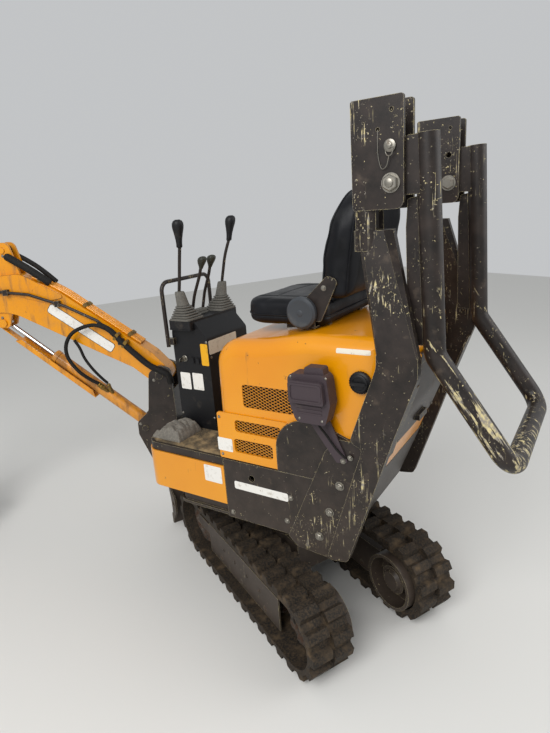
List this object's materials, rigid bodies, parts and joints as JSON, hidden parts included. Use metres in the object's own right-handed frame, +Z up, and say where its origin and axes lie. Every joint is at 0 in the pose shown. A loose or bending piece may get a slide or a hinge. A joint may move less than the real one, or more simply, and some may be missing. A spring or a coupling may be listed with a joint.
{
  "type": "mini excavator",
  "caption": "Narrow tracked mini excavator with swinging boom, arm and bucket, dozer blade, open seat behind a lever console, and a roll bar folded down behind it.",
  "frame": {"origin": "on the ground at the middle of the blade's cutting edge", "axes": "+X forward to the dozer blade, +Y to the left of the tracks, +Z up"},
  "size_m": [2.6682, 2.3886, 1.949],
  "materials": {
    "orange_paint": "gloss, weathered",
    "black_paint": "semi-gloss, chipped",
    "engine_grey": "matt",
    "track_rubber": "matt, dusty",
    "chrome_rod": "polished",
    "worn_steel": "scuffed, rusty",
    "black_plastic": "moulded",
    "seat_vinyl": "soft",
    "floor_rubber": "muddy",
    "grey_rubber": "matt",
    "zinc": "dull"
  },
  "bodies": {
    "undercarriage": {"car_body": "black_paint", "track_frame_left": "black_paint", "track_frame_right": "black_paint", "track_left": "track_rubber", "track_right": "track_rubber", "sprockets": "worn_steel", "drive_motors": "black_paint", "idlers": "worn_steel", "track_rollers": "worn_steel"},
    "blade": {"blade": "black_paint"},
    "blade_cylinder_barrel": {"blade_cylinder_barrel": "black_paint"},
    "blade_cylinder_rod": {"blade_cylinder_rod": "chrome_rod"},
    "house": {"upper_frame": "black_paint", "counterweight": "black_paint", "floor_deck": "black_paint", "floor_mat": "floor_rubber", "front_skirt": "orange_paint", "engine_block": "engine_grey", "hood": "orange_paint", "hood_grilles": "orange_paint", "side_panel_left": "orange_paint", "side_panel_right": "orange_paint", "side_cover_left": "black_paint", "side_cover_right": "black_paint", "fuel_cap": "black_plastic", "console": "black_plastic", "lever_boots": "grey_rubber", "control_levers": "black_plastic", "guard_bar": "black_paint", "foot_cover": "grey_rubber", "seat_bracket": "black_paint", "seat_cushion": "seat_vinyl", "seat_back": "seat_vinyl", "seat_belt_reel": "black_plastic", "side_lamp": "black_plastic", "rops_post_left": "black_paint", "rops_post_right": "black_paint", "rops_pins": "zinc"},
    "rear_door": {"rear_door": "black_paint"},
    "rops_hoop": {"rops_hoop": "black_paint"},
    "swing_post": {"swing_post": "black_paint"},
    "boom": {"boom": "orange_paint", "boom_pipes": "black_paint"},
    "boom_cylinder_barrel": {"boom_cylinder_barrel": "orange_paint"},
    "boom_cylinder_rod": {"boom_cylinder_rod": "chrome_rod", "rod_guard": "orange_paint"},
    "arm": {"arm": "orange_paint"},
    "arm_cylinder_barrel": {"arm_cylinder_barrel": "black_paint"},
    "arm_cylinder_rod": {"arm_cylinder_rod": "chrome_rod"},
    "bucket_cylinder_barrel": {"bucket_cylinder_barrel": "black_paint"},
    "bucket_cylinder_rod": {"bucket_cylinder_rod": "chrome_rod"},
    "tipping_links": {"tipping_links": "black_paint"},
    "bucket_link": {"bucket_link": "black_paint"},
    "bucket": {"bucket": "black_paint"}
  },
  "joints": [
    {"name": "blade_lift", "type": "hinge", "parent": "undercarriage", "child": "blade", "pos_m": [-0.536, 0, 0.18], "axis": [0, -1, 0], "range_deg": [-18, 22]},
    {"name": "blade_cylinder_tilt", "type": "hinge", "parent": "undercarriage", "child": "blade_cylinder_barrel", "pos_m": [-0.551, 0, 0.285], "axis": [0, -1, 0], "range_deg": [-17, 21]},
    {"name": "blade_cylinder_stroke", "type": "slide", "parent": "blade_cylinder_barrel", "child": "blade_cylinder_rod", "axis": [0.9776, 0, -0.2106], "range_m": [-0.042, 0.042]},
    {"name": "house_swing", "type": "hinge", "parent": "undercarriage", "child": "house", "pos_m": [-0.786, 0, 0.412], "axis": [0, 0, 1], "continuous": true},
    {"name": "post_swing", "type": "hinge", "parent": "house", "child": "swing_post", "pos_m": [-0.21576, 0.29055, 0.58], "axis": [0, 0, 1], "range_deg": [-81, 39]},
    {"name": "boom_lift", "type": "hinge", "parent": "swing_post", "child": "boom", "pos_m": [-0.17363, 0.34646, 0.945], "axis": [0.7986, -0.6018, 0], "range_deg": [-45, 45]},
    {"name": "boom_cylinder_tilt", "type": "hinge", "parent": "swing_post", "child": "boom_cylinder_barrel", "pos_m": [-0.10984, 0.43111, 0.674], "axis": [0.7986, -0.6018, 0], "range_deg": [-42, 42]},
    {"name": "boom_cylinder_stroke", "type": "slide", "parent": "boom_cylinder_barrel", "child": "boom_cylinder_rod", "axis": [0.457, 0.6065, 0.6506], "range_m": [-0.21, 0.21]},
    {"name": "arm_swing", "type": "hinge", "parent": "boom", "child": "arm", "pos_m": [0.5666, 1.32878, 1.33], "axis": [-0.7986, 0.6018, 0], "range_deg": [-73, 40]},
    {"name": "arm_cylinder_tilt", "type": "hinge", "parent": "boom", "child": "arm_cylinder_barrel", "pos_m": [0.24584, 0.90311, 1.582], "axis": [-0.7986, 0.6018, 0], "range_deg": [-5, 5]},
    {"name": "arm_cylinder_stroke", "type": "slide", "parent": "arm_cylinder_barrel", "child": "arm_cylinder_rod", "axis": [0.5921, 0.7857, -0.179], "range_m": [-0.19, 0.11]},
    {"name": "bucket_curl", "type": "hinge", "parent": "arm", "child": "bucket", "pos_m": [0.64394, 1.4314, 0.60124], "axis": [-0.7986, 0.6018, 0], "range_deg": [-50, 95]},
    {"name": "tipping_link_swing", "type": "hinge", "parent": "arm", "child": "tipping_links", "pos_m": [0.63297, 1.41685, 0.79096], "axis": [-0.7986, 0.6018, 0], "range_deg": [-32, 58]},
    {"name": "bucket_link_swing", "type": "hinge", "parent": "tipping_links", "child": "bucket_link", "pos_m": [0.73801, 1.55625, 0.80358], "axis": [-0.7986, 0.6018, 0], "range_deg": [-65, 35]},
    {"name": "bucket_cylinder_tilt", "type": "hinge", "parent": "arm", "child": "bucket_cylinder_barrel", "pos_m": [0.63092, 1.41414, 1.32854], "axis": [-0.7986, 0.6018, 0], "range_deg": [-8, 12]},
    {"name": "bucket_cylinder_stroke", "type": "slide", "parent": "bucket_cylinder_barrel", "child": "bucket_cylinder_rod", "axis": [0.1932, 0.2564, -0.9471], "range_m": [-0.085, 0.15]},
    {"name": "rear_door_lift", "type": "hinge", "parent": "house", "child": "rear_door", "pos_m": [-1.3313, -0.27784, 1.16], "axis": [-0.454, 0.891, 0], "range_deg": [0, 80]},
    {"name": "rops_fold", "type": "hinge", "parent": "house", "child": "rops_hoop", "pos_m": [-1.3206, -0.27239, 1.725], "axis": [-0.454, 0.891, 0], "range_deg": [0, 180]}
  ],
  "couplings": [
    {"joint": "blade_cylinder_tilt", "follows": "blade_lift", "ratio": 0.9},
    {"joint": "blade_cylinder_stroke", "follows": "blade_lift", "m_per_rad": -0.0985},
    {"joint": "boom_cylinder_tilt", "follows": "boom_lift", "ratio": 0.9},
    {"joint": "boom_cylinder_stroke", "follows": "boom_lift", "m_per_rad": 0.254},
    {"joint": "arm_cylinder_tilt", "follows": "arm_swing", "ratio": 0.02},
    {"joint": "arm_cylinder_stroke", "follows": "arm_swing", "m_per_rad": 0.145},
    {"joint": "tipping_link_swing", "follows": "bucket_curl", "ratio": 0.5851},
    {"joint": "bucket_link_swing", "follows": "bucket_curl", "ratio": -0.6597},
    {"joint": "bucket_cylinder_tilt", "follows": "bucket_curl", "ratio": 0.0854},
    {"joint": "bucket_cylinder_stroke", "follows": "bucket_curl", "m_per_rad": 0.08424}
  ]
}
